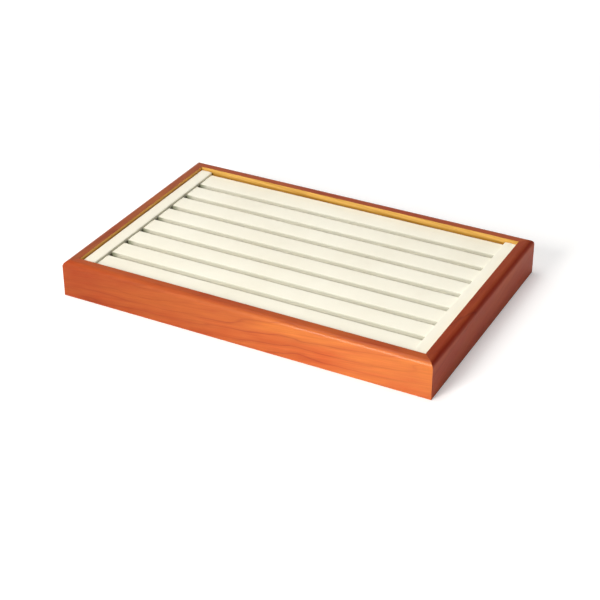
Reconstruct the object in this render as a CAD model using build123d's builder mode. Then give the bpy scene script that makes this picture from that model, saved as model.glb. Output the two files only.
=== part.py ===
from build123d import *
import os

# A jewelry tray: a mitred hardwood frame on a thin base board, and a lift-out insert
# of padded, leatherette-covered bars with an open slot between each two.
# Millimetres. The origin is the centre of the footprint, on the table.
# +X runs along the long side, +Y to the back, +Z up.

# The frame
tray_length = 300.0
tray_depth = 196.0
tray_height = 29.0
rail_width = 9.5
outer_round = 4.5
inner_round = 0.6
foot_chamfer = 0.8

# The rebate under the rails, the board in it and the felt under the board
rebate_width = 5.0
felt_recess = 0.6
felt_thick = 0.6
board_thick = 3.0
board_play = 0.5
rebate_height = felt_recess + felt_thick + board_thick

# Brads, cut from flat wire with a T head
brad_wide = 1.25
brad_thick = 1.0
brad_head_wide = 2.1
brad_head_long = 0.8

# Two through each mitre, from the front or the back, punched in and filled over
corner_brad_length = 16.0
corner_brad_heights = (10.5, 20.5)
corner_brad_inset = 2.7
filler_depth = 1.0

# The others up through the base board into the rails
base_brad_length = 12.0
base_brad_margin = 34.0
base_brads_long_side = 4
base_brads_short_side = 3

# The insert
insert_play = 0.5
carrier_thick = 2.0
lining_thick = 0.6
cover_thick = 0.8
glue_line = 0.05

bar_count = 8
bar_pitch = 21.6
bar_top = 24.8
bar_crown = 0.3
bar_round = 1.3
bar_edge_gap = 1.5
slot_width = 4.6

strip_width = 10.0
strip_top = 26.8
strip_crown = 0.25
strip_round = 1.2
strip_end_play = 0.3
strip_bar_gap = 0.4

foot_round = 1.0
end_round = 1.0
turn_in = 3.0

# Worked out from the above
opening_length = tray_length - 2 * rail_width
opening_depth = tray_depth - 2 * rail_width
board_length = opening_length + 2 * (rebate_width - board_play)
board_depth = opening_depth + 2 * (rebate_width - board_play)
board_bottom = felt_recess + felt_thick
insert_length = opening_length - 2 * insert_play
insert_depth = opening_depth - 2 * insert_play
carrier_bottom = board_bottom + board_thick
lining_bottom = carrier_bottom + carrier_thick
bar_bottom = lining_bottom + lining_thick
bar_width = bar_pitch - slot_width
edge_bar_reach = insert_depth / 2 - bar_edge_gap
edge_bar_start = (bar_count / 2 - 1) * bar_pitch + slot_width / 2
bar_length = insert_length - 2 * (strip_width + strip_bar_gap)
bar_height = bar_top - bar_bottom
strip_length = insert_depth - 2 * strip_end_play
strip_height = strip_top - bar_bottom


def save(piece, name):
    """Labels a finished piece and writes it to its own file."""
    piece.part.label = name
    export_step(piece.part, f"parts/{name}.step")


def rail(run, reach, turn, brads):
    """One mitred rail: run long outside, with its outer face at reach from the centre.

    turn is its place round the frame, from the front rail at 0.
    brads are the parts that are driven into it and leave their holes.
    """
    ground = Plane.XY.rotated((0, 0, turn))
    end = Plane(
        origin=ground.from_local_coords((-run / 2, 0, 0)),
        x_dir=ground.y_dir,
        z_dir=ground.x_dir,
    )
    with BuildPart() as wood:
        # The section: rounded over outside, eased inside and rebated underneath
        with BuildSketch(end) as section:
            with Locations((-reach + rail_width / 2, tray_height / 2)):
                Rectangle(rail_width, tray_height)
            top = section.vertices().group_by(Axis.Y)[-1].sort_by(Axis.X)
            foot = section.vertices().group_by(Axis.Y)[0].sort_by(Axis.X)
            fillet(top[0], outer_round)
            fillet(top[-1], inner_round)
            chamfer(foot[0], foot_chamfer)
            with Locations((-reach + rail_width - rebate_width / 2, rebate_height / 2)):
                Rectangle(rebate_width, rebate_height, mode=Mode.SUBTRACT)
        extrude(amount=run)
        # The mitres
        with BuildSketch(ground):
            with BuildLine():
                Polyline(
                    (-run / 2, -reach),
                    (run / 2, -reach),
                    (run / 2 - rail_width, -reach + rail_width),
                    (-run / 2 + rail_width, -reach + rail_width),
                    close=True,
                )
            make_face()
        extrude(amount=tray_height, mode=Mode.INTERSECT)
        # The holes of the brads
        for piece in brads:
            add(piece.part, mode=Mode.SUBTRACT)
    return wood


def corner_brad_places():
    """Where the corner brads go in: a plane each on the front or back face, facing inward."""
    across = tray_length / 2 - corner_brad_inset
    reach = tray_depth / 2
    return [
        Plane(origin=(x, -inward * reach, z), x_dir=(0, 0, 1), z_dir=(0, inward, 0))
        for inward in (1, -1)
        for x in (-across, across)
        for z in corner_brad_heights
    ]


def base_brad_places():
    """Where the base brads go in: a plane each under the base board, below the rails."""
    row_x = (opening_length + rebate_width) / 2
    row_y = (opening_depth + rebate_width) / 2
    step_x = (tray_length - 2 * base_brad_margin) / (base_brads_long_side - 1)
    step_y = (tray_depth - 2 * base_brad_margin) / (base_brads_short_side - 1)
    places = []
    for side in (-1, 1):
        for number in range(base_brads_long_side):
            x = base_brad_margin - tray_length / 2 + number * step_x
            places.append(Plane(origin=(x, side * row_y, board_bottom), x_dir=(1, 0, 0)))
        for number in range(base_brads_short_side):
            y = base_brad_margin - tray_depth / 2 + number * step_y
            places.append(Plane(origin=(side * row_x, y, board_bottom), x_dir=(0, 1, 0)))
    return places


def driven_brads(places, depth, length):
    """A brad at each place, its head sunk by depth."""
    with BuildPart() as wires:
        for place in places:
            with BuildSketch(place.offset(depth)):
                Rectangle(brad_head_wide, brad_thick)
            extrude(amount=brad_head_long)
            with BuildSketch(place.offset(depth + brad_head_long)):
                Rectangle(brad_wide, brad_thick)
            extrude(amount=length - brad_head_long)
    return wires


def filler_plugs(places, depth):
    """The filler over sunk brads, flush with the face."""
    with BuildPart() as plugs:
        for place in places:
            with BuildSketch(place):
                Rectangle(brad_head_wide, brad_thick)
            extrude(amount=depth)
    return plugs


def panel(length, depth, bottom, thick):
    """A flat rectangular board or sheet, centred."""
    with BuildPart() as flat:
        with BuildSketch(Plane.XY.offset(bottom)):
            Rectangle(length, depth)
        extrude(amount=thick)
    return flat


def padded_section(end, width, height, crown, shoulder, inset):
    """The section of a padded bar: flat foot, round shoulders and a crowned top.

    inset draws the whole outline in, for what lies under a cover.
    """
    with BuildSketch(end) as section:
        with BuildLine():
            Polyline(
                (-width / 2, height - crown),
                (-width / 2, 0),
                (width / 2, 0),
                (width / 2, height - crown),
            )
            ThreePointArc(
                (width / 2, height - crown),
                (0, height),
                (-width / 2, height - crown),
            )
        make_face()
        heights = section.vertices().group_by(Axis.Y)
        fillet(heights[-1], shoulder)
        fillet(heights[0], foot_round)
        if inset:
            offset(amount=-inset, mode=Mode.REPLACE)
    return section.sketch


def foam(end, run, width, height, crown, shoulder):
    """The padding under a cover."""
    inset = cover_thick + glue_line
    with BuildPart() as padding:
        extrude(
            padded_section(end.offset(inset), width, height, crown, shoulder, inset),
            amount=run - 2 * inset,
        )
    return padding


def cover(end, run, width, height, crown, shoulder):
    """A leatherette cover, wrapped round the foam, folded over its ends and turned in below.

    The turned-in edges stop short of each other and leave a stripe of bare foam.
    """
    with BuildPart() as skin:
        extrude(padded_section(end, width, height, crown, shoulder, 0), amount=run)
        tips = skin.faces().sort_by(Axis(end.origin, end.z_dir))
        rims = (tips[0].edges() + tips[-1].edges()).filter_by(
            lambda edge: edge.center().Z > end.origin.Z + foot_round
        )
        fillet(rims, end_round)
        extrude(
            padded_section(
                end.offset(cover_thick), width, height, crown, shoulder, cover_thick
            ),
            amount=run - 2 * cover_thick,
            mode=Mode.SUBTRACT,
        )
        with BuildSketch(end.offset(turn_in)):
            with Locations((0, cover_thick / 2)):
                Rectangle(width - 2 * turn_in, cover_thick)
        extrude(amount=run - 2 * turn_in, mode=Mode.SUBTRACT)
    return skin


def main():
    os.makedirs("parts", exist_ok=True)

    # The brads, and the filler over the ones that go in from the front and the back
    corner_brads = driven_brads(corner_brad_places(), filler_depth, corner_brad_length)
    brad_filler = filler_plugs(corner_brad_places(), filler_depth)
    base_brads = driven_brads(base_brad_places(), 0, base_brad_length)
    brads = (corner_brads, brad_filler, base_brads)
    save(corner_brads, "corner_brads")
    save(brad_filler, "brad_filler")
    save(base_brads, "base_brads")

    # The frame
    save(rail(tray_length, tray_depth / 2, 0, brads), "front_rail")
    save(rail(tray_depth, tray_length / 2, 90, brads), "right_rail")
    save(rail(tray_length, tray_depth / 2, 180, brads), "back_rail")
    save(rail(tray_depth, tray_length / 2, 270, brads), "left_rail")

    # The base
    with BuildPart() as base_board:
        add(panel(board_length, board_depth, board_bottom, board_thick).part)
        add(base_brads.part, mode=Mode.SUBTRACT)
    save(base_board, "base_board")
    save(panel(board_length, board_depth, felt_recess, felt_thick), "base_felt")

    # The insert's board, and the lining that shows at the foot of the slots
    save(panel(insert_length, insert_depth, carrier_bottom, carrier_thick), "insert_board")
    save(panel(insert_length, insert_depth, lining_bottom, lining_thick), "slot_lining")

    # The bars, counted from the front. The first and the last are wider
    for number in range(bar_count):
        y = (number - (bar_count - 1) / 2) * bar_pitch
        width = bar_width
        if number in (0, bar_count - 1):
            width = edge_bar_reach - edge_bar_start
            y = (edge_bar_reach + edge_bar_start) / 2 * (-1 if number == 0 else 1)
        end = Plane(origin=(-bar_length / 2, y, bar_bottom), x_dir=(0, 1, 0), z_dir=(1, 0, 0))
        form = (end, bar_length, width, bar_height, bar_crown, bar_round)
        save(foam(*form), f"bar_foam_{number + 1}")
        save(cover(*form), f"bar_cover_{number + 1}")

    # The end strips, which stand a little above the bars
    for side, name in ((-1, "left"), (1, "right")):
        x = side * (insert_length - strip_width) / 2
        end = Plane(origin=(x, -strip_length / 2, bar_bottom), x_dir=(-1, 0, 0), z_dir=(0, 1, 0))
        form = (end, strip_length, strip_width, strip_height, strip_crown, strip_round)
        save(foam(*form), f"{name}_strip_foam")
        save(cover(*form), f"{name}_strip_cover")


main()
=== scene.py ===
import math

import bpy
from mathutils import Matrix, Vector, noise


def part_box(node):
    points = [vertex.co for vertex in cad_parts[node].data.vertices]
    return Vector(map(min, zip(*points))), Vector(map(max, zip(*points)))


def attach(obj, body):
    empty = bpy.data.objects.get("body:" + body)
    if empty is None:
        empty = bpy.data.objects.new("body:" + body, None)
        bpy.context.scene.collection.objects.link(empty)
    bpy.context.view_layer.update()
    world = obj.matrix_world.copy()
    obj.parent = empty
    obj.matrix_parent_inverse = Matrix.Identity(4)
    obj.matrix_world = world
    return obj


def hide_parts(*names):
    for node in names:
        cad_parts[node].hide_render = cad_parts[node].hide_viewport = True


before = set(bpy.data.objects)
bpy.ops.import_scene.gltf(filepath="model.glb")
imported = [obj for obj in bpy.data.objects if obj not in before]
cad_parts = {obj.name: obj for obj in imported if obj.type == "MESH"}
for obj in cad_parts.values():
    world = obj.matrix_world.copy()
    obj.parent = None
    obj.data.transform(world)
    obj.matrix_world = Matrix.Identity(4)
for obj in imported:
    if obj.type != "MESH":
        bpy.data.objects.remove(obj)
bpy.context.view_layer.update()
print("frame loaded:", len(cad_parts), "nodes")

mm = 0.001

# Small helpers for materials. Where one asks for a material, the world will do too


def newMaterial(name):
    material = bpy.data.materials.new(name)
    material.use_nodes = True
    material.node_tree.nodes.clear()
    return material


def addNode(material, kind, links=None, **values):
    # values go to the node's own settings, or else to its input sockets
    node = material.node_tree.nodes.new(kind)
    for key, value in values.items():
        if hasattr(node, key):
            setattr(node, key, value)
        else:
            node.inputs[key.replace("_", " ")].default_value = value
    for socket, source in (links or {}).items():
        material.node_tree.links.new(source, node.inputs[socket])
    return node


def addRamp(material, source, stops):
    # stops: each a place from 0 to 1 and its colour
    ramp = addNode(material, "ShaderNodeValToRGB", {"Fac": source})
    elements = ramp.color_ramp.elements
    while len(elements) < len(stops):
        elements.new(0.5)
    for element, (place, colour) in zip(elements, stops):
        element.position = place
        element.color = (*colour, 1)
    return ramp.outputs["Color"]


def mapRange(material, source, low, high, start=0.0, end=1.0):
    # An eased step from start, at low, to end, at high
    node = addNode(
        material, "ShaderNodeMapRange", {"Value": source}, interpolation_type="SMOOTHSTEP",
        From_Min=low, From_Max=high, To_Min=start, To_Max=end,
    )
    return node.outputs[0]


def multiply(material, first, second):
    return addNode(
        material, "ShaderNodeMath", {0: first, 1: second}, operation="MULTIPLY"
    ).outputs[0]


def splitParts(material, source):
    return addNode(material, "ShaderNodeSeparateXYZ", {"Vector": source}).outputs


def mixColours(material, kind, amount, first, second):
    # amount is a number or a socket, and each colour is three numbers or a socket
    mix = addNode(material, "ShaderNodeMix", data_type="RGBA", blend_type=kind)
    for name, value in (("Factor_Float", amount), ("A_Color", first), ("B_Color", second)):
        socket = next(s for s in mix.inputs if s.identifier == name)
        if hasattr(value, "links"):
            material.node_tree.links.new(value, socket)
        else:
            socket.default_value = (*value, 1) if isinstance(value, tuple) else value
    return next(s for s in mix.outputs if s.identifier == "Result_Color")


def toned(material, colour, tone, amount=1.0):
    # The colour, multiplied by the tone where amount is 1
    return mixColours(material, "MULTIPLY", amount, colour, tone)


def finishMaterial(material, shader):
    addNode(material, "ShaderNodeOutputMaterial", {"Surface": shader.outputs[0]})
    return material


def dressNode(name, material):
    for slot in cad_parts[name].material_slots:
        slot.material = material


def grey(value):
    return (value, value, value)


# The wooden frame: one stain and lacquer for all of it, one run of grain for each rail

wood = {
    # The stain, and the tones of its fibres and blotches, which it's multiplied by
    "pale": (0.84, 0.205, 0.047),
    "middle": (0.74, 0.165, 0.040),
    "dark": (0.54, 0.100, 0.032),
    "fibreDark": grey(0.86),
    "redPatch": (0.88, 0.70, 0.72),
    "plainPatch": grey(0.94),
    "paleStreak": (1.02, 1.12, 0.98),
    # The golden inner faces, and the painted shade at their foot
    "inside": (0.72, 0.42, 0.10),
    "insideDark": (0.52, 0.27, 0.05),
    "innerFootShade": (0.62, 0.54, 0.35),
    # The figure: from one dark line to the next, how far up they lean and how far they stray
    "lineGap": 8.0 * mm,
    "lineLean": 0.5,
    "waver": 4.2,
    "waverSize": 38.0,
    "waverTwist": 0.4,
    # Where the lines fade out, and how strong they are where they're faint and clear
    "fadeSize": 30.0,
    "fadeFrom": (0.40, 0.68),
    "lineStrength": (0.05, 0.8),
    "patchSize": 55.0,
    "fibreSize": 900.0,
    # How long the figure and the fibres are drawn out along the rail: less is longer
    "waverStretch": 0.22,
    "fibreStretch": 0.03,
    # The slopes between which a face counts as the top, the rounded edge and the inside
    "topSlope": 0.98,
    "edgeRise": (0.05, 0.55),
    "edgeFall": (0.75, 0.97),
    "insideFrom": (0.75, 0.95),
    # The lacquer
    "rough": 0.42,
    "shine": 0.08,
    "coat": 0.12,
    "gloss": 0.08,
    "relief": 0.1,
    "reliefDepth": 0.2 * mm,
}
halfLength = 150 * mm
rails = {
    # tilt: how steeply the grain crosses the rail, in degrees
    # shift: which part of the plank it's cut from. inward: the way its inner face looks
    # edge: painted shade on the rounded edge. inner: the tone of the inner face, with painted
    # light on the left rail
    # foot: the heights between which painted shade darkens the inner face downwards
    # top: how much darker the top is painted, as painted shade, and from which slope it
    # starts
    # start, end: painted light and shade, as tones at the two ends of the rail, towards -x or
    # -y and +x or +y
    "front_rail": {
        "along": "x", "tilt": 7.0, "shift": (0.31, 0.02, 0.0), "inward": (0, 1, 0),
        "edge": grey(1.0),
        "inner": grey(1.0), "foot": (24.3 * mm, 26.3 * mm),
        "top": (0.58, 0.47, 0.45), "topShadeFrom": 0.55,
        "start": (0.55, 0.46, 0.44), "end": (0.94, 1.08, 1.20),
    },
    "back_rail": {
        "along": "x", "tilt": -4.0, "shift": (1.74, 0.4, 0.3), "inward": (0, -1, 0),
        "edge": grey(1.0),
        "inner": grey(1.0), "foot": (24.3 * mm, 26.3 * mm),
        "top": (0.50, 0.42, 0.45), "topShadeFrom": 0.3,
        "start": grey(0.95), "end": grey(1.0),
    },
    "left_rail": {
        "along": "y", "tilt": 5.0, "shift": (2.9, 0.1, 0.7), "inward": (1, 0, 0),
        "edge": (0.8, 0.7, 0.8),
        "inner": (1.32, 1.2, 1.0), "foot": (26.5 * mm, 27.6 * mm),
        "top": (0.48, 0.50, 0.56), "topShadeFrom": 0.3,
        "start": grey(1.0), "end": grey(0.95),
    },
    "right_rail": {
        "along": "y", "tilt": -8.0, "shift": (4.2, 0.6, 0.2), "inward": (-1, 0, 0),
        "edge": (0.82, 0.50, 0.42),
        "inner": grey(1.0), "foot": (24.3 * mm, 26.3 * mm),
        "top": (0.41, 0.265, 0.25), "topShadeFrom": 0.02,
        "start": (0.76, 0.46, 0.38), "end": (0.90, 0.58, 0.50),
    },
}


def stretchedPlace(material, turned, stretch):
    return addNode(
        material, "ShaderNodeMapping", {"Vector": turned}, Scale=(stretch, 1, 1)
    ).outputs[0]


def woodFigure(material, turned, drawnOut):
    # Thin dark lines at even steps across the grain, which waver along it and fade out
    stray = addNode(
        material, "ShaderNodeTexNoise", {"Vector": drawnOut},
        Scale=wood["waverSize"], Detail=3.0, Roughness=0.5, Distortion=wood["waverTwist"],
    )
    across = addNode(
        material, "ShaderNodeVectorMath", {0: turned}, operation="DOT_PRODUCT"
    )
    across.inputs[1].default_value = (
        0, wood["lineLean"] / wood["lineGap"], 1 / wood["lineGap"]
    )
    rings = addNode(
        material, "ShaderNodeMath", {0: stray.outputs[0], 2: across.outputs["Value"]},
        operation="MULTIPLY_ADD",
    )
    rings.inputs[1].default_value = wood["waver"]
    saw = addNode(material, "ShaderNodeMath", {0: rings.outputs[0]}, operation="FRACT")
    lined = addRamp(
        material, saw.outputs[0],
        [
            (0.0, wood["middle"]),
            (0.45, wood["pale"]),
            (0.84, wood["middle"]),
            (0.93, wood["dark"]),
            (1.0, wood["middle"]),
        ],
    )
    faint = addNode(
        material, "ShaderNodeTexNoise", {"Vector": drawnOut},
        Scale=wood["fadeSize"], Detail=1.0,
    )
    shown = mapRange(material, faint.outputs[0], *wood["fadeFrom"], *wood["lineStrength"])
    return mixColours(material, "MIX", shown, wood["middle"], lined)


def makeWood(name, rail):
    material = newMaterial(name)
    place = addNode(material, "ShaderNodeTexCoord")
    spread = splitParts(material, place.outputs["Object"])
    facing = splitParts(material, place.outputs["Normal"])
    tilt = math.radians(rail["tilt"])
    turn = (0, tilt, 0) if rail["along"] == "x" else (tilt, 0, math.radians(90))
    turned = addNode(
        material, "ShaderNodeMapping", {"Vector": place.outputs["Object"]},
        Rotation=turn, Location=rail["shift"],
    ).outputs[0]
    drawnOut = stretchedPlace(material, turned, wood["waverStretch"])
    stain = woodFigure(material, turned, drawnOut)

    # Fine fibres, broad blotches, and painted light and shade that changes along the rail
    fibre = addNode(
        material, "ShaderNodeTexNoise",
        {"Vector": stretchedPlace(material, turned, wood["fibreStretch"])},
        Scale=wood["fibreSize"], Detail=3.0, Roughness=0.6,
    ).outputs[0]
    fibreTone = addRamp(material, fibre, [(0.3, wood["fibreDark"]), (0.7, grey(1.0))])
    patch = addNode(
        material, "ShaderNodeTexNoise", {"Vector": drawnOut},
        Scale=wood["patchSize"], Detail=4.0, Roughness=0.6,
    )
    patchTone = addRamp(
        material, patch.outputs[0],
        [(0.34, wood["redPatch"]), (0.5, wood["plainPatch"]), (0.66, wood["paleStreak"])],
    )
    colour = toned(material, toned(material, stain, fibreTone), patchTone)
    run = mapRange(material, spread[rail["along"].upper()], -halfLength, halfLength)
    paintedLightAlong = mixColours(material, "MIX", run, rail["start"], rail["end"])
    sides = toned(material, colour, paintedLightAlong)

    # Painted shade: darker on the top and on the rounded edge, most of all on the rails in
    # shade
    onTop = mapRange(material, facing["Z"], rail["topShadeFrom"], wood["topSlope"])
    shadedTop = toned(material, colour, rail["top"])
    colour = mixColours(material, "MIX", onTop, sides, shadedTop)
    rising = mapRange(material, facing["Z"], *wood["edgeRise"])
    falling = mapRange(material, facing["Z"], *wood["edgeFall"], 1.0, 0.0)
    shadedEdge = toned(material, colour, rail["edge"])
    colour = mixColours(
        material, "MIX", multiply(material, rising, falling), colour, shadedEdge
    )

    # The inner face is golden where the rest is red-brown, with painted shade at its foot
    inward = addNode(
        material, "ShaderNodeVectorMath", {0: place.outputs["Normal"]},
        operation="DOT_PRODUCT",
    )
    inward.inputs[1].default_value = rail["inward"]
    onInside = mapRange(material, inward.outputs["Value"], *wood["insideFrom"])
    gold = addRamp(material, fibre, [(0.3, wood["insideDark"]), (0.62, wood["inside"])])
    # On the left rail its tone is raised: painted light
    gold = toned(material, gold, rail["inner"])
    # Painted shade at the foot of the inner face, beside the insert
    foot = mapRange(material, spread["Z"], *rail["foot"], 1.0, 0.0)
    gold = toned(material, gold, wood["innerFootShade"], foot)
    colour = mixColours(material, "MIX", onInside, colour, gold)

    relief = addNode(
        material, "ShaderNodeBump", {"Height": fibre},
        Strength=wood["relief"], Distance=wood["reliefDepth"],
    )
    shader = addNode(
        material, "ShaderNodeBsdfPrincipled",
        {"Base Color": colour, "Normal": relief.outputs[0]},
        Roughness=wood["rough"], Specular_IOR_Level=wood["shine"],
        Coat_Weight=wood["coat"], Coat_Roughness=wood["gloss"],
    )
    return finishMaterial(material, shader)


for railName, rail in rails.items():
    dressNode(railName, makeWood("wood_" + railName, rail))
dressNode("brad_filler", makeWood("tinted_filler", rails["front_rail"]))
print("rails stained and lacquered")

# The brads, the boards and the felt

brads = {
    "pale": (0.62, 0.62, 0.62), "dark": (0.42, 0.42, 0.43),
    "rough": 0.32, "metal": 1.0, "grain": 900.0,
}
hardPieces = {
    "corner_brads": brads,
    "base_brads": brads,
    "base_board": {
        "pale": (0.42, 0.26, 0.14), "dark": (0.30, 0.18, 0.09),
        "rough": 0.7, "metal": 0.0, "grain": 400.0,
    },
    "base_felt": {
        "pale": (0.035, 0.05, 0.045), "dark": (0.012, 0.018, 0.016),
        "rough": 0.95, "metal": 0.0, "grain": 2200.0,
    },
    "insert_board": {
        "pale": (0.46, 0.38, 0.27), "dark": (0.36, 0.29, 0.2),
        "rough": 0.85, "metal": 0.0, "grain": 700.0,
    },
}


def makeHard(name, piece):
    material = newMaterial(name)
    place = addNode(material, "ShaderNodeTexCoord")
    grain = addNode(
        material, "ShaderNodeTexNoise", {"Vector": place.outputs["Object"]},
        Scale=piece["grain"], Detail=4.0, Roughness=0.65,
    )
    colour = addRamp(
        material, grain.outputs[0], [(0.32, piece["dark"]), (0.68, piece["pale"])]
    )
    relief = addNode(
        material, "ShaderNodeBump", {"Height": grain.outputs[0]},
        Strength=0.35, Distance=0.3 * mm,
    )
    shader = addNode(
        material, "ShaderNodeBsdfPrincipled",
        {"Base Color": colour, "Normal": relief.outputs[0]},
        Roughness=piece["rough"], Metallic=piece["metal"],
    )
    return finishMaterial(material, shader)


for pieceName, piece in hardPieces.items():
    dressNode(pieceName, makeHard("finish_" + pieceName, piece))
print("small pieces and boards dressed")

# Leatherette: cream, matt, with a fine pebble grain

leatherette = {
    "pale": (0.90, 0.868, 0.735),
    "dark": (0.865, 0.825, 0.685),
    "cloudSize": 26.0,
    "pebbles": 1900.0,
    "speck": grey(0.97),
    "relief": 0.3,
    "reliefDepth": 0.12 * mm,
    "rough": 0.62,
    "sheen": 0.15,
    "sheenRough": 0.4,
    "liningTone": 0.94,
    # The painted shade on the bars' front sides, from which slope they count as such, the
    # heights between which the shade comes in, and how much of it there is below them
    "slotShade": (0.70, 0.71, 0.69),
    "slotSides": (-0.34, -0.06),
    "slotHeights": (21.8 * mm, 23.6 * mm),
    "slotShadeBelow": 0.3,
    # Further painted shade at the left ends of the slots, and where that starts
    "slotEndShade": (0.42, 0.45, 0.36),
    "slotEndFrom": (-129.0 * mm, -122.0 * mm),
    # The painted shade on the strips' inner sides, down in the joint beside the bars
    "jointShade": (0.22, 0.21, 0.14),
    "jointHeights": (22.9 * mm, 24.1 * mm),
    "jointSides": (-0.11, -0.07),  # a side's slope times its place, less than 0 inside
}


def shadeSlots(material, colour, spread, facing):
    # Painted shade on the sides that face the front, most of all at the left end of a slot
    front = mapRange(material, facing["Y"], *leatherette["slotSides"], 1.0, 0.0)
    high = mapRange(
        material, spread["Z"], *leatherette["slotHeights"], leatherette["slotShadeBelow"], 1.0
    )
    colour = toned(
        material, colour, leatherette["slotShade"], multiply(material, front, high)
    )
    near = mapRange(material, spread["X"], *leatherette["slotEndFrom"], 1.0, 0.0)
    return toned(material, colour, leatherette["slotEndShade"], multiply(material, front, near))


def shadeJoints(material, colour, spread, facing):
    # Painted shade low on the sides that face the middle of the tray
    low = mapRange(material, spread["Z"], *leatherette["jointHeights"], 1.0, 0.0)
    toMiddle = multiply(material, facing["X"], spread["X"])
    side = mapRange(material, toMiddle, *leatherette["jointSides"], 1.0, 0.0)
    return mixColours(
        material, "MIX", multiply(material, low, side), colour, leatherette["jointShade"]
    )


def makeLeatherette(name, tone=1.0, shade=None):
    material = newMaterial(name)
    place = addNode(material, "ShaderNodeTexCoord")
    clouds = addNode(
        material, "ShaderNodeTexNoise", {"Vector": place.outputs["Object"]},
        Scale=leatherette["cloudSize"], Detail=3.0, Roughness=0.5,
    )
    pebbles = addNode(
        material, "ShaderNodeTexVoronoi", {"Vector": place.outputs["Object"]},
        Scale=leatherette["pebbles"],
    )
    colour = addRamp(
        material, clouds.outputs[0],
        [
            (0.32, tuple(c * tone for c in leatherette["dark"])),
            (0.66, tuple(c * tone for c in leatherette["pale"])),
        ],
    )
    speck = addRamp(
        material, pebbles.outputs["Distance"], [(0.0, grey(1.0)), (0.7, leatherette["speck"])]
    )
    colour = toned(material, colour, speck)
    if shade:
        spread = splitParts(material, place.outputs["Object"])
        facing = splitParts(material, place.outputs["Normal"])
        colour = shade(material, colour, spread, facing)
    relief = addNode(
        material, "ShaderNodeBump", {"Height": pebbles.outputs["Distance"]},
        Strength=leatherette["relief"], Distance=leatherette["reliefDepth"], invert=True,
    )
    shader = addNode(
        material, "ShaderNodeBsdfPrincipled",
        {"Base Color": colour, "Normal": relief.outputs[0]},
        Roughness=leatherette["rough"], Sheen_Weight=leatherette["sheen"],
        Sheen_Roughness=leatherette["sheenRough"],
    )
    return finishMaterial(material, shader)


barMaterial = makeLeatherette("cream_leatherette", shade=shadeSlots)
stripMaterial = makeLeatherette("strip_leatherette", shade=shadeJoints)
dressNode("slot_lining", makeLeatherette("slot_lining", leatherette["liningTone"]))

# The padded bars and end strips

bars = {
    "count": 8,
    "loops": 75,
    "shoulder": 0.55 * mm,
    "foot": 1.0 * mm,
    "crown": 0.3 * mm,
    "end": 0.35 * mm,  # how round it is over its two ends
    "bulge": 0.05 * mm,
    "ripple": 0.12 * mm,
    "rippleLength": 26 * mm,
    "pucker": 0.2 * mm,
    "puckerReach": 6 * mm,
}
strips = {
    "seeds": {"left": 11, "right": 12},
    "loops": 60,
    "shoulder": 0.7 * mm,
    "foot": 0.8 * mm,
    "crown": 0.25 * mm,
    "end": 0.8 * mm,
    "bulge": 0.05 * mm,
    "ripple": 0.12 * mm,
    "rippleLength": 22 * mm,
    "pucker": 0.45 * mm,
    "puckerReach": 9 * mm,
}
padding = {
    # How many steps the mesh takes over each part of a pad
    "soleSteps": 6,
    "footSteps": 4,
    "sideSteps": 8,
    "shoulderSteps": 8,
    "topSteps": 9,
    "endSteps": 6,
    # From which share of the height the pad is soft, and over how much it gets so
    "softFrom": 0.15,
    "softOver": 0.6,
    # How much narrower a ripple is than long, and how much of it may stand proud
    "rippleNarrow": 1.6,
    "rippleProud": 0.4,
    # One pucker: along the pad, across it and up it
    "puckerSize": (9 * mm, 1.6 * mm, 4 * mm),
    # How far one pad's pattern lies from the next one's
    "rippleStep": 3.7,
    "puckerStep": 5.1,
    "pushFrom": 0.3,  # the share of the height above which the cover is pushed upwards
}


def padSection(width, height, form):
    # Round half the section from the middle of the foot, and then the other half
    half = width / 2
    top = height - form["crown"]
    foot, shoulder = form["foot"], form["shoulder"]
    points = []
    steps = padding["soleSteps"]
    for step in range(steps + 1):
        points.append((step / steps * (half - foot), 0))
    steps = padding["footSteps"]
    for step in range(1, steps):
        turn = math.radians(step / steps * 90)
        points.append((half - foot + foot * math.sin(turn), foot - foot * math.cos(turn)))
    steps = padding["sideSteps"]
    for step in range(steps + 1):
        points.append((half, foot + step / steps * (top - shoulder - foot)))
    steps = padding["shoulderSteps"]
    for step in range(1, steps):
        turn = math.radians(step / steps * 90)
        points.append(
            (
                half - shoulder + shoulder * math.cos(turn),
                top - shoulder + shoulder * math.sin(turn),
            )
        )
    steps = padding["topSteps"]
    for step in range(steps + 1):
        points.append(((1 - step / steps) * (half - shoulder), top))

    # The crown, and sides that swell a little between the foot and the shoulder
    raised = []
    for across, up in points:
        share = 1 - (across / half) ** 2
        lift = form["crown"] * share * max(0, up / height - 0.5) * 2
        swell = form["bulge"] * math.sin(math.pi * min(1, up / top))
        raised.append((across + math.copysign(swell, across) * (across / half), up + lift))
    other = [(-across, up) for across, up in raised[1:-1]]
    return raised + other[::-1]


def padLoops(length, form):
    # Loops along the pad: how far from its start, how far drawn in, and its scale
    end = form["end"]
    loops = [(0.0, end, 0.5), (0.0, end, 0.8)]
    steps = padding["endSteps"]
    for step in range(steps):
        turn = math.radians(step / steps * 90)
        loops.append((end * (1 - math.cos(turn)), end * (1 - math.sin(turn)), 1.0))
    for step in range(form["loops"] + 1):
        share = step / form["loops"]
        loops.append((end + share * (length / 2 - end), 0.0, 1.0))
    return loops + [(length - depth, inset, scale) for depth, inset, scale in loops[-2::-1]]


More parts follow.
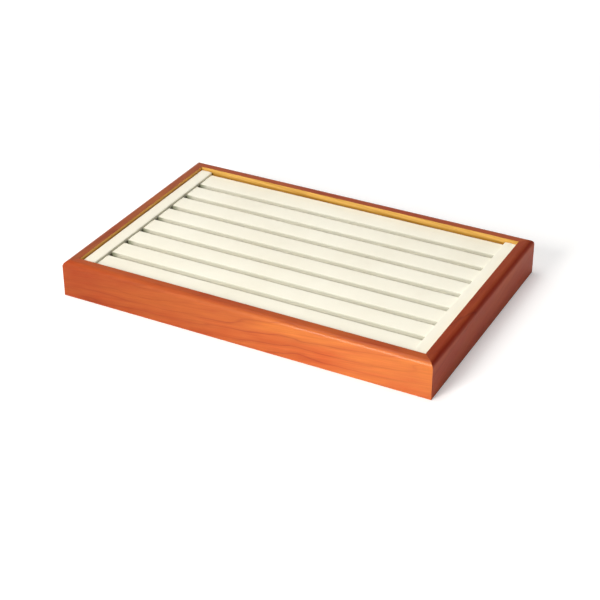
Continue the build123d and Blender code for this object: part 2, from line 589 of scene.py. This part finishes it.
def padPush(x, y, z, share, fromEnd, seed, form):
    # The foam's soft unevenness, and the puckers where the cover is folded at the ends
    soft = max(0, min(1, (share - padding["softFrom"]) / padding["softOver"]))
    rippleLength = form["rippleLength"]
    spot = (
        x / rippleLength,
        y / rippleLength * padding["rippleNarrow"],
        seed * padding["rippleStep"],
    )
    ripple = form["ripple"] * noise.noise(Vector(spot)) * soft
    fade = math.exp(-((fromEnd / form["puckerReach"]) ** 2))
    along, across, up = padding["puckerSize"]
    spot = (x / along, y / across, seed * padding["puckerStep"] + z / up)
    folds = noise.noise(Vector(spot))
    pucker = form["pucker"] * fade * folds * soft
    return min(ripple + pucker, form["ripple"] * padding["rippleProud"])


def buildPad(name, node, along, form, seed, material):
    # One stuffed cover inside the box of the node that it stands for
    low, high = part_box(node)
    middle = (low + high) / 2
    size = high - low
    length, width = (size.x, size.y) if along == "x" else (size.y, size.x)
    section = padSection(width, size.z, form)
    loops = padLoops(length, form)

    verts = []
    for depth, inset, scale in loops:
        for across, up in section:
            x = depth - length / 2
            y = across * (1 - 2 * inset / width) * scale
            z = inset + up * (1 - 2 * inset / size.z)
            z = size.z / 2 + (z - size.z / 2) * scale
            fromEnd = min(depth, length - depth)
            push = padPush(x, y, z, up / size.z, fromEnd, seed, form)
            outward = Vector((0, across / (width / 2), up / size.z - padding["pushFrom"]))
            point = Vector((x, y, z)) + outward.normalized() * push * scale
            point.z = min(point.z, size.z)
            verts.append(point)
    count = len(section)
    faces = []
    for ring in range(len(loops) - 1):
        for step in range(count):
            a = ring * count + step
            b = ring * count + (step + 1) % count
            faces.append((a, b, b + count, a + count))
    faces.append(tuple(range(count))[::-1])
    faces.append(tuple(range((len(loops) - 1) * count, len(loops) * count)))

    turn = Matrix.Identity(4) if along == "x" else Matrix.Rotation(math.radians(90), 4, "Z")
    shift = Matrix.Translation((middle.x, middle.y, low.z))
    mesh = bpy.data.meshes.new(name)
    mesh.from_pydata([tuple(shift @ turn @ v) for v in verts], [], faces)
    mesh.update()
    for polygon in mesh.polygons:
        polygon.use_smooth = True
    mesh.materials.append(material)
    pad = bpy.data.objects.new(name, mesh)
    bpy.context.scene.collection.objects.link(pad)
    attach(pad, "insert")
    return pad


for number in range(1, bars["count"] + 1):
    pad = buildPad(
        f"padded_bar_{number}", f"bar_cover_{number}", "x", bars, number, barMaterial
    )
    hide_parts(f"bar_cover_{number}", f"bar_foam_{number}")
for side, seed in strips["seeds"].items():
    pad = buildPad(
        f"padded_{side}_strip", f"{side}_strip_cover", "y", strips, seed, stripMaterial
    )
    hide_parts(f"{side}_strip_cover", f"{side}_strip_foam")
print("padded bars and strips made")

# Floor, light and camera

studio = {
    "floor": (0.86, 0.86, 0.86),
    "floorHalf": 4.0,
    "mottleSize": 40.0,
    "mottleTone": 0.985,
    # floorLift: the glow that only the camera sees, near the tray and far away from it
    "floorLift": (0.24, 0.75),
    "liftFrom": (0.25, 1.3),
    # The lit backdrop all round, and the dimmer ceiling above it
    "horizon": 0.75,
    "sky": 0.28,
    "skyFrom": (0.455, 0.52),
    # The right-hand side of the room, which is dark
    "darkSide": 0.15,
    "darkFrom": (0.0, 0.55),
}
lamps = {
    "key": {
        "place": (-0.32, -1.34, 0.74), "size": (0.5, 0.5),
        "watts": 19.0, "colour": (1.0, 0.97, 0.93),
    },
    "over": {
        "place": (-0.15, -0.05, 1.6), "size": (1.1, 1.1),
        "watts": 14.0, "colour": (1.0, 0.995, 0.98),
    },
}
view = {
    "target": (0, 0, 15 * mm),
    "azimuth": 27.649,
    "elevation": 29.637,
    "distance": 1.14844,
    "lens": 90.79,
    "shift": (-0.00248, -0.05644),
}


def makeFloor():
    mesh = bpy.data.meshes.new("floor")
    half = studio["floorHalf"]
    mesh.from_pydata(
        [(-half, -half, 0), (half, -half, 0), (half, half, 0), (-half, half, 0)],
        [], [(0, 1, 2, 3)],
    )
    floor = bpy.data.objects.new("floor", mesh)
    bpy.context.scene.collection.objects.link(floor)
    floor.location.z = -0.05 * mm
    material = newMaterial("floor")
    place = addNode(material, "ShaderNodeTexCoord")
    mottle = addNode(
        material, "ShaderNodeTexNoise", {"Vector": place.outputs["Object"]},
        Scale=studio["mottleSize"],
    )
    low = tuple(c * studio["mottleTone"] for c in studio["floor"])
    colour = addRamp(material, mottle.outputs[0], [(0.3, low), (0.7, studio["floor"])])
    paper = addNode(material, "ShaderNodeBsdfDiffuse", {"Color": colour})
    rays = addNode(material, "ShaderNodeLightPath")
    away = addNode(
        material, "ShaderNodeVectorMath", {0: place.outputs["Object"]}, operation="LENGTH"
    )
    lift = mapRange(
        material, away.outputs["Value"], *studio["liftFrom"], *studio["floorLift"]
    )
    lift = multiply(material, rays.outputs["Is Camera Ray"], lift)
    glow = addNode(material, "ShaderNodeEmission", {"Strength": lift})
    both = addNode(
        material, "ShaderNodeAddShader", {0: paper.outputs[0], 1: glow.outputs[0]}
    )
    mesh.materials.append(finishMaterial(material, both))


def makeWorld():
    # The camera sees plain white, and the tray is lit by the dimmer room
    world = bpy.data.worlds.new("studio")
    world.use_nodes = True
    world.node_tree.nodes.clear()
    rays = addNode(world, "ShaderNodeLightPath")
    place = addNode(world, "ShaderNodeTexCoord")
    parts = splitParts(world, place.outputs["Generated"])
    level = mapRange(
        world, parts["Z"], *studio["skyFrom"], studio["horizon"], studio["sky"]
    )
    side = mapRange(world, parts["X"], *studio["darkFrom"], 1.0, studio["darkSide"])
    room = addNode(
        world, "ShaderNodeBackground", {"Strength": multiply(world, level, side)},
        Color=(1, 1, 1, 1),
    )
    white = addNode(world, "ShaderNodeBackground", Color=(1, 1, 1, 1), Strength=1.0)
    seen = addNode(
        world, "ShaderNodeMixShader",
        {0: rays.outputs["Is Camera Ray"], 1: room.outputs[0], 2: white.outputs[0]},
    )
    addNode(world, "ShaderNodeOutputWorld", {"Surface": seen.outputs[0]})
    bpy.context.scene.world = world


def makeLamps():
    for name, lamp in lamps.items():
        light = bpy.data.lights.new(name, "AREA")
        light.shape = "RECTANGLE"
        light.size, light.size_y = lamp["size"]
        light.energy = lamp["watts"]
        light.color = lamp["colour"]
        stand = bpy.data.objects.new(name, light)
        stand.location = lamp["place"]
        stand.rotation_mode = "QUATERNION"
        stand.rotation_quaternion = (-Vector(lamp["place"])).to_track_quat("-Z", "Y")
        bpy.context.scene.collection.objects.link(stand)


def makeCamera():
    azimuth, elevation = math.radians(view["azimuth"]), math.radians(view["elevation"])
    back = Vector(
        (
            math.sin(azimuth) * math.cos(elevation),
            -math.cos(azimuth) * math.cos(elevation),
            math.sin(elevation),
        )
    )
    lens = bpy.data.cameras.new("camera")
    lens.lens = view["lens"]
    lens.sensor_width = 36
    lens.shift_x, lens.shift_y = view["shift"]
    lens.clip_start = 0.05
    camera = bpy.data.objects.new("camera", lens)
    camera.location = Vector(view["target"]) + back * view["distance"]
    camera.rotation_mode = "QUATERNION"
    camera.rotation_quaternion = (-back).to_track_quat("-Z", "Y")
    bpy.context.scene.collection.objects.link(camera)
    bpy.context.scene.camera = camera


makeFloor()
makeWorld()
makeLamps()
makeCamera()
bpy.context.scene.view_settings.view_transform = "Standard"
print("floor, lamps and camera set")
